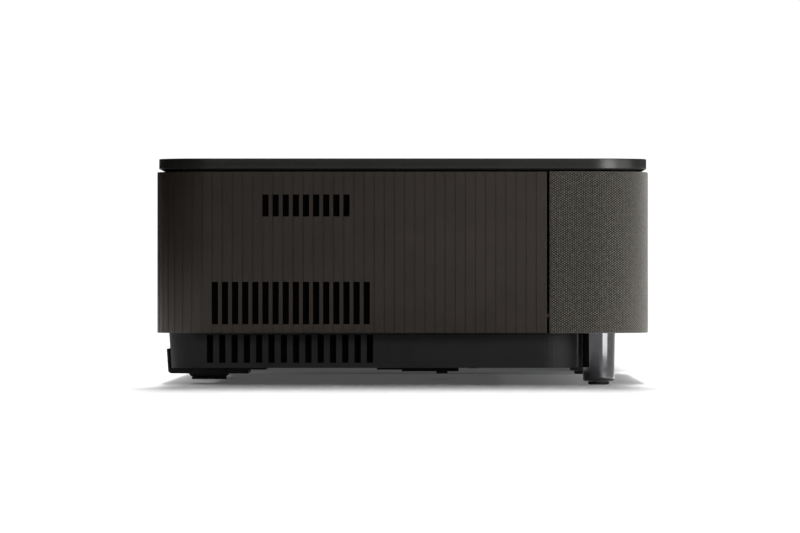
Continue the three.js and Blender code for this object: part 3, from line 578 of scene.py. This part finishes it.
def ribbed_wall():
    """The whole ribbed wall as one closed bmesh."""
    rail = Rail(SEAM_BACK, BACK, REAR_CORNER)
    groove = ((-0.7, 0), (-0.68, 0.04), (-0.64, 0.3), (0.64, 0.3), (0.68, 0.04), (0.7, 0))
    on_the_rib = (0.32, 0.5, 0.68)
    lip = 0.3 * MM
    runs = rib_runs(rail)
    stations = [(0.0, lip), (lip, 0.0)]
    for run, following in zip(runs, runs[1:] + [rail.length]):
        stations += [(run + shift * MM, depth * MM) for shift, depth in groove]
        stations += [(run + (following - run) * share, 0.0) for share in on_the_rib]
    stations[-1] = (rail.length - lip, 0.0)
    stations.append((rail.length, lip))
    edge = 0.5 * MM
    bend = 0.15 * MM
    profile = [
        (WALL, BODY_LOW), (edge, BODY_LOW), (bend, BODY_LOW + bend), (0, BODY_LOW + edge),
        (0, BODY_TOP - edge), (bend, BODY_TOP - bend), (edge, BODY_TOP), (WALL, BODY_TOP),
        (WALL, BODY_LOW),
    ]
    mesh = sweep(rail, stations, profile)
    bmesh.ops.remove_doubles(mesh, verts=mesh.verts, dist=1e-7)
    bmesh.ops.holes_fill(mesh, edges=mesh.edges, sides=0)
    return mesh


def filter_door():
    """The stretch of ribbed wall that covers the filter drawer."""
    low, high = (Vector(p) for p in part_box("filter_cover"))
    door = piece("filter_door", ribbed_wall(), FINISHES["wrap_plastic"], "filter_drawer",
                 replaces=["filter_cover"])
    past = Vector((5 * MM, 0, 0))
    carve(door, blocks((low - past, high + past)), "INTERSECT")
    carve(door, blocks(*slot_boxes(SIDES["right"], LOW_VENT, skipped=1)))


def wrap_shell():
    """The ribbed wall, open at the vents, the filter drawer, the sockets and the power button."""
    cover_low, cover_high = (Vector(p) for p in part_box("filter_cover"))
    panel_low, panel_high = (Vector(p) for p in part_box("io_panel"))
    button_low, button_high = (Vector(p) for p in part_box("power_button"))
    gap = 0.3 * MM
    reach = 9 * MM
    drawer_hole = ((cover_low.x - reach, cover_low.y - gap, cover_low.z - gap),
                   (cover_high.x + reach, cover_high.y + gap, cover_high.z + gap))
    panel_hole = ((panel_low.x - gap, BACK - reach, panel_low.z - gap),
                  (panel_high.x + gap, BACK + reach, panel_high.z + gap))
    wrap = piece("wrap_shell", ribbed_wall(), FINISHES["wrap_plastic"], replaces=["rear_wrap_cover"])
    carve(wrap, blocks(
        *slot_boxes(SIDES["left"], LOW_VENT),
        *slot_boxes(SIDES["left"], HIGH_VENT),
        *slot_boxes(SIDES["right"], HIGH_VENT),
        drawer_hole,
        panel_hole,
    ))
    button = (button_low + button_high) / 2
    radius = 6.5 * MM
    button_hole = ((0, -reach), (radius, -reach), (radius, reach), (0, reach))
    carve(wrap, lathe(button_hole, (HALF_WIDTH, button.y, button.z), "X", 48))


def seam_clips():
    """The small tongue that bridges each seam near its foot."""
    foot, top = 46.9 * MM, 49.1 * MM
    outside, inside = 0.4 * MM, 2.4 * MM
    for hand, side in SIDES.items():
        x = side * HALF_WIDTH
        x0, x1 = sorted((x - side * outside, x - side * inside))
        tongue = blocks(((x0, SEAM_FRONT + 0.3 * MM, foot), (x1, SEAM_BACK + 0.1 * MM, top)))
        bevel(piece(f"seam_clip_{hand}", tongue, FINISHES["wrap_plastic"]), 0.2 * MM)


def dark_liners():
    """Black strips behind the seams, and black sheets behind the vents that the door doesn't cover: painted
    shade that stands in for the shaded inside.
    """
    inner = HALF_WIDTH - WALL - 0.1 * MM
    near, far = inner - 0.5 * MM, inner - 1.1 * MM
    margin = 2 * MM
    last = 132 * MM
    for hand, side in SIDES.items():
        x0, x1 = sorted((side * near, side * far))
        strip = ((x0, SEAM_FRONT - 1 * MM, BODY_LOW), (x1, SEAM_BACK + 3 * MM, BODY_TOP))
        piece(f"seam_shade_{hand}", blocks(strip), SHADE_BLACK)
        screens = {"high": HIGH_VENT}
        if hand == "left":
            screens["low"] = LOW_VENT
        for row, vent in screens.items():
            back = FIRST_RIB - vent["first"] * RIB_PITCH
            front = back - vent["slots"] * RIB_PITCH
            foot, top = vent["z0"] - margin, vent["z1"] + margin
            screen = ((x0, front, foot), (x1, min(back + 1 * MM, last), top))
            piece(f"vent_shade_{row}_{hand}", blocks(screen), SHADE_BLACK)


def lid_gap_shade():
    """A black ring in the gap under the lid: painted shade for the shadow in that gap."""
    near, far = 5.4 * MM, 7.4 * MM
    foot, top = BODY_TOP - 0.6 * MM, lid_low.z + 1.0 * MM
    section = ((near, foot), (near, top), (far, top), (far, foot))
    piece("lid_gap_shade", loft([plan_ring(inset, z) for inset, z in section], closed=True), SHADE_BLACK)


def base_vent_shading():
    """Black sheets behind the base vents, a little inside the tub's wall: painted shade for the shaded
    inside.
    """
    x = BASE_HALF_WIDTH - 3.2 * MM
    thickness = 0.8 * MM
    front, back = 15 * MM, 139 * MM
    foot, top = 14.7 * MM, 35.4 * MM
    for hand, side in SIDES.items():
        x0, x1 = sorted((side * x, side * (x - thickness)))
        piece(f"base_vent_shade_{hand}", blocks(((x0, front, foot), (x1, back, top))), SHADE_BLACK)


def speaker_cloth():
    """The cloth, stretched over the grille frame and tucked in at its top, foot and ends."""
    rail = Rail(SEAM_FRONT, FRONT, FRONT_CORNER)
    edge = 1.1 * MM
    tuck = 0.9 * MM
    turn = [math.radians(90 * i / 4) for i in range(5)]
    foot = [(edge - edge * math.sin(a), BODY_LOW + edge - edge * math.cos(a)) for a in turn]
    head = [(edge - edge * math.cos(a), BODY_TOP - edge + edge * math.sin(a)) for a in turn]
    profile = [(edge + tuck, BODY_LOW), *foot, *head, (edge + tuck, BODY_TOP)]
    ends = [(edge * (1 - math.cos(a)), edge * (1 - math.sin(a))) for a in turn]
    straight = [rail.side * share for share in (0.3, 0.6, 0.9)]
    bends = rail.bends(1.6 * MM)
    half = len(bends) // 2
    across = [rail.side + rail.arc + rail.across * i / 24 for i in range(1, 24)]
    runs = straight + bends[:half] + across + bends[half:]
    runs += [rail.length - run for run in reversed(straight)]
    stations = ends + [(run, 0.0) for run in runs]
    stations += [(rail.length - run, depth) for run, depth in reversed(ends)]
    cloth = piece("speaker_cloth", sweep(rail, stations, profile), FINISHES["grille_cloth"],
                  replaces=["grille_fabric"])


def floating_lid():
    """A slab with a bevelled underside, hollow for the shutter, with a chamfered opening."""
    top = lid_high.z
    edge = HALF_WIDTH - lid_high.x
    underside, rim = 147.7 * MM, 149.7 * MM
    chamfer = 0.6 * MM
    outline = [
        (edge + 4 * MM, underside), (edge + 0.25 * MM, rim - 0.32 * MM), (edge, rim),
        (edge, top - chamfer), (edge + 0.18 * MM, top - 0.18 * MM), (edge + chamfer, top),
    ]
    lid = piece("lid_slab", loft([plan_ring(inset, z) for inset, z in outline]), FINISHES["lid_plastic"],
                replaces=["top_lid"])
    ceiling = top - 3 * MM
    carve(lid, loft([plan_ring(8 * MM, z) for z in (140 * MM, ceiling)]))
    low, high = (Vector(p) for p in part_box("lens_shutter"))
    lap_x, lap_y = 6 * MM, 4 * MM
    corner = 10 * MM
    slope = 1.2 * MM
    past = 0.2 * MM
    mouth = []
    for grow, z in ((0, 150 * MM), (0, top - slope), (slope, top), (slope + past, top + past)):
        x, y0, y1 = high.x - lap_x + grow, low.y + lap_y - grow, high.y - lap_y + grow
        mouth.append(rounded_ring(-x, x, y0, y1, corner + grow, corner + grow, z, 12))
    carve(lid, loft(mouth))
    status_low, status_high = (Vector(p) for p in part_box("status_window"))
    gap = Vector((0.3 * MM, 0.3 * MM, 5 * MM))
    carve(lid, blocks((status_low - gap, status_high + gap)))


def shutter_panel():
    """The dust shutter, with four finger grooves near its front edge."""
    low, high = (Vector(p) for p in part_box("lens_shutter"))
    edge = 0.5 * MM
    corner = 3 * MM
    rings = [
        rounded_ring(low.x + inset, high.x - inset, low.y + inset, high.y - inset, corner, corner, z, 8)
        for inset, z in ((edge, low.z), (0, low.z + edge), (0, high.z - edge), (edge, high.z))
    ]
    panel = piece("shutter_panel", loft(rings), FINISHES["lid_plastic"], "shutter",
                  replaces=["lens_shutter"])
    half, width, depth, pitch = 40 * MM, 1.2 * MM, 0.5 * MM, 3 * MM
    fronts = [low.y + 10 * MM + i * pitch for i in range(4)]
    carve(panel, blocks(*(
        ((-half, front, high.z - depth), (half, front + width, high.z + 1 * MM)) for front in fronts)))


def well_baffles():
    """Fine steps across the well's floor that trap stray light."""
    low, high = (Vector(p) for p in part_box("lens_well"))
    foot = Vector((0, -47 * MM, 110.2 * MM))
    head = Vector((0, 20 * MM, 140.7 * MM))
    x0, x1 = low.x + 4 * MM, high.x - 4 * MM
    half, rise = 0.6 * MM, 0.9 * MM
    count = 22
    mesh = bmesh.new()
    for i in range(count):
        at = foot.lerp(head, (i + 0.5) / count)
        add_block(mesh, (x0, at.y - half, at.z - half), (x1, at.y + half, at.z + rise))
    piece("well_baffles", mesh, FINISHES["black_plastic"])


# Legs, feet and small parts --------------------------------------------------------------------------


def leg_columns():
    """The polished front legs, a little slimmer at the foot, with a bore for the stud."""
    bore, bore_top = 4.3 * MM, 26 * MM
    for hand in SIDES:
        low, high = (Vector(p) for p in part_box(f"front_leg_{hand}"))
        centre = ((low.x + high.x) / 2, (low.y + high.y) / 2, 0)
        top_r = (high.x - low.x) / 2
        mid_r = top_r - 0.6 * MM
        low_r = top_r - 0.65 * MM
        profile = [
            (0, bore_top), (bore, bore_top), (bore, low.z),
            (low_r - 0.8 * MM, low.z), (low_r - 0.25 * MM, low.z + 0.2 * MM), (low_r, low.z + 0.8 * MM),
            (mid_r, 5 * MM), (top_r, high.z), (0, high.z),
        ]
        piece(f"leg_column_{hand}", lathe(profile, centre, steps=128), FINISHES["leg_metal"],
              replaces=[f"front_leg_{hand}"])


def foot_pads():
    """Knurled rubber pads with a rounded sole, and a bore for the stud."""
    steps = 96
    every = 4
    knurl = 0.35 * MM
    bore, bore_floor = 4.15 * MM, 1.25 * MM
    for hand in SIDES:
        low, high = (Vector(p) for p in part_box(f"front_pad_{hand}"))
        centre = ((low.x + high.x) / 2, (low.y + high.y) / 2, 0)
        r = (high.x - low.x) / 2
        profile = [
            (0, 0), (r - 1.6 * MM, 0), (r - 0.7 * MM, 0.15 * MM), (r, 0.7 * MM), (r, high.z - 0.3 * MM),
            (r - 0.3 * MM, high.z), (bore, high.z), (bore, bore_floor), (0, bore_floor),
        ]
        mesh = lathe(profile, centre, steps=steps)
        for vert in mesh.verts:
            out = Vector((vert.co.x - centre[0], vert.co.y - centre[1]))
            step = math.atan2(out.y, out.x) * steps / (2 * math.pi)
            if out.length > r - 0.01 * MM and round(step) % every == 0:
                vert.co.x -= knurl * out.x / r
                vert.co.y -= knurl * out.y / r
        piece(f"foot_pad_{hand}", mesh, FINISHES["rubber"], f"front_foot_{hand}",
              replaces=[f"front_pad_{hand}"])


def power_key():
    """The power button's cap, dished, with a thin bright ring set into its face."""
    low, high = (Vector(p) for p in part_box("power_button"))
    centre = (0, (low.y + high.y) / 2, (low.z + high.z) / 2)
    face = high.x
    r = 6.2 * MM
    flange_r, flange = r + 2.4 * MM, low.x + 2.2 * MM
    cap = [
        (0, face - 0.7 * MM), (3 * MM, face - 0.55 * MM), (r - 1 * MM, face - 0.1 * MM),
        (r - 0.5 * MM, face), (r - 0.1 * MM, face - 0.15 * MM), (r, face - 0.5 * MM),
        (r, flange), (flange_r, flange), (flange_r, low.x), (0, low.x),
    ]
    piece("power_cap", lathe(cap, centre, "X"), FINISHES["black_plastic"], "power_key",
          replaces=["power_button"])
    near, far = 4.1 * MM, 4.5 * MM
    ring = [
        (near, face - 0.42 * MM), (near, face - 0.22 * MM),
        (far, face - 0.14 * MM), (far, face - 0.36 * MM),
    ]
    piece("power_ring", lathe(ring + ring[:1], centre, "X"), FINISHES["aluminium"], "power_key")


def socket_tongues():
    """The contact tongue inside each video socket, and the paler one inside the USB socket."""
    half = 0.35 * MM
    for name in ("hdmi_port_1", "hdmi_port_2", "usb_port"):
        low, high = (Vector(p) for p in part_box(name))
        middle = (low + high) / 2
        wide = (high.x - low.x) / 2 - 3 * MM
        z = middle.z
        finish = FINISHES["black_plastic"]
        if name == "usb_port":
            z += 1.1 * MM
            finish = FINISHES["white_plastic"]
        tongue = blocks(((middle.x - wide, low.y + 2 * MM, z - half),
                         (middle.x + wide, high.y - 5 * MM, z + half)))
        bevel(piece(f"{name}_tongue", tongue, finish), 0.1 * MM)


def screw(name, at, r):
    """A pan-head screw whose head faces back, with a cross recess."""
    head = [(0, 0), (r, 0), (r, 0.5 * MM), (r * 0.86, 1.1 * MM), (r * 0.5, 1.45 * MM), (0, 1.55 * MM)]
    arm, half = r * 0.55, r * 0.14
    quarter = [(arm, half), (half, half), (half, arm)]
    cross = []
    for _ in range(4):
        cross += quarter
        quarter = [(-z, x) for x, z in quarter]
    recess = [[(at[0] + x, at[1] + depth, at[2] + z) for x, z in cross] for depth in (0.8 * MM, 3 * MM)]
    carve(piece(name, lathe(head, at, "Y", 32), FINISHES["steel"]), loft(recess))


def panel_screws():
    """Four screws in a row across the socket panel."""
    panel_low, _ = (Vector(p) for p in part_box("io_panel"))
    height = 63 * MM
    for i, x in enumerate((106, 200, 222, 277)):
        screw(f"panel_screw_{i}", (x * MM, panel_low.y + 2.05 * MM, height), 2.6 * MM)


def sole_ridges():
    """Ridges moulded across the rear foot's rubber sole."""
    low, high = (Vector(p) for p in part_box("rear_foot_sole"))
    proud = 0.4 * MM
    width, pitch = 1 * MM, 2.2 * MM
    foot, top = 0.4 * MM, high.z - 0.3 * MM
    fronts = [low.y + 2 * MM + i * pitch for i in range(9)]
    ridges = [((low.x - proud, y, foot), (high.x + proud, y + width, top)) for y in fronts]
    bevel(piece("sole_ridges", blocks(*ridges), FINISHES["rubber"]), 0.15 * MM)


# Studio ----------------------------------------------------------------------------------------------


def floor():
    """A pale studio floor. The polished legs mirror the dim room past its edges."""
    half_length, half_width = 4.6, 2.4
    mesh = bmesh.new()
    bmesh.ops.create_grid(mesh, x_segments=1, y_segments=1, size=1)
    bmesh.ops.transform(mesh, matrix=Matrix.Diagonal((half_length, half_width, 1, 1)), verts=mesh.verts)
    obj = mesh_object("floor", mesh, Finish("floor", (0.9, 0.9, 0.9), 0.9, specular=0.0).material)


def black_card(name, low, high):
    """A studio card that takes light away and that the camera never sees."""
    obj = mesh_object(name, blocks((low, high)), SHADE_BLACK)
    obj.visible_camera = False
    return obj


def black_cards():
    """One card over the object, which deepens its shadow, and one behind it, which darkens reflections."""
    top_card = black_card("top_card", (-0.61, -0.163, 0.208), (1.35, 0.172, 0.212))
    top_card.visible_diffuse = False
    back_card = black_card("back_card", (-1.3, 0.40, 0.02), (0.5, 0.41, 0.6))
    back_card.visible_shadow = False


def camera():
    """At the photograph's viewpoint: 6 m to the left, low over the floor, turned a little to the back."""
    data = bpy.data.cameras.new("camera")
    data.lens = 369.6
    data.sensor_width = 36
    data.clip_start = 0.05
    data.clip_end = 500
    obj = link(bpy.data.objects.new("camera", data))
    obj.location = (-6.018, -0.033, 0.0735)
    obj.rotation_euler = (math.radians(90.084), 0, math.radians(-89.65))
    bpy.context.scene.camera = obj


def light(name, kind, at, rotation, energy):
    data = bpy.data.lights.new(name, kind)
    data.energy = energy
    obj = link(bpy.data.objects.new(name, data))
    obj.location = at
    obj.rotation_euler = rotation
    obj.visible_camera = False
    return data


def area_light(name, at, size, power, rotation=(0, 0, 0)):
    """A rectangular light. It shines straight down unless it is turned."""
    data = light(name, "AREA", at, rotation, power)
    data.shape = "RECTANGLE"
    data.size, data.size_y = size


def soft_box(name, target, azimuth, distance, size, power, lift=0.0):
    """An upright box over the floor. azimuth is in degrees from the left side, round to the front."""
    turn = math.radians(azimuth)
    height = lift + size[1] / 2
    at = (target[0] - distance * math.cos(turn), target[1] - distance * math.sin(turn), height)
    area_light(name, at, size, power, (math.radians(90), 0, math.radians(-90 + azimuth)))


def link_to_floor(group, state, *lights):
    """Makes lights reach the floor alone (INCLUDE), or all but the floor (EXCLUDE)."""
    receivers = bpy.data.collections.new(group)
    receivers.objects.link(bpy.data.objects["floor"])
    for name in lights:
        bpy.data.objects[name].light_linking.receiver_collection = receivers
    receivers.collection_objects[0].light_linking.link_state = state


def studio_light():
    """A fan of suns across the floor, soft boxes round the object, and weak lights close to it."""
    for i, tilt in enumerate(range(-60, 61, 15)):
        sun = light(f"floor_sun_{i}", "SUN", (0, 0, 2), (0, math.radians(tilt), 0), 0.56)
        sun.angle = math.radians(10)
    near_corner = (-0.3, -0.1)
    soft_box("key", near_corner, azimuth=42, distance=1.6, size=(0.7, 0.9), power=19.5)
    soft_box("fill", near_corner, azimuth=74, distance=1.7, size=(1.0, 0.9), power=6.5)
    soft_box("rear", (0, 0.1), azimuth=205, distance=1.6, size=(1.0, 0.9), power=2.5)
    soft_box("leg_card", (-0.318, -0.136), azimuth=44, distance=0.25, size=(0.16, 0.065), power=0.24,
             lift=0.008)
    area_light("top_strip", (-0.42, 0, 0.2), (0.06, 0.34), 0.07)
    area_light("lid_panel", (0, 0, 0.206), (0.62, 0.3), 0.5)
    area_light("under_glow", (0, 0, 0.0055), (0.64, 0.3), 0.045)
    for end, y in (("front", -0.205), ("back", 0.205)):
        area_light(f"{end}_edge", (0, y, 0.03), (0.9, 0.01), 0.36)
    link_to_floor("only_the_floor", "INCLUDE", "front_edge", "back_edge")
    link_to_floor("all_but_the_floor", "EXCLUDE",
                  "key", "fill", "rear", "leg_card", "top_strip", "lid_panel")


def room():
    """White where the camera sees it, and dim for everything else."""
    world = bpy.data.worlds.new("studio")
    bpy.context.scene.world = world
    world.use_nodes = True
    tree = world.node_tree
    tree.nodes.clear()
    seen = tree.nodes.new("ShaderNodeBackground")
    dim = tree.nodes.new("ShaderNodeBackground")
    seen.inputs["Color"].default_value = (1, 1, 1, 1)
    seen.inputs["Strength"].default_value = 1.05
    dim.inputs["Color"].default_value = (0.96, 0.98, 1, 1)
    dim.inputs["Strength"].default_value = 0.08
    path = tree.nodes.new("ShaderNodeLightPath")
    pick = tree.nodes.new("ShaderNodeMixShader")
    out = tree.nodes.new("ShaderNodeOutputWorld")
    tree.links.new(path.outputs["Is Camera Ray"], pick.inputs[0])
    tree.links.new(dim.outputs[0], pick.inputs[1])
    tree.links.new(seen.outputs[0], pick.inputs[2])
    tree.links.new(pick.outputs[0], out.inputs[0])
    bpy.context.scene.view_settings.view_transform = "Standard"


camera()
floor()
black_cards()
studio_light()
room()
dress_cad_nodes()
filter_door()
wrap_shell()
seam_clips()
dark_liners()
lid_gap_shade()
base_vent_shading()
speaker_cloth()
floating_lid()
shutter_panel()
well_baffles()
leg_columns()
foot_pads()
power_key()
socket_tongues()
panel_screws()
sole_ridges()
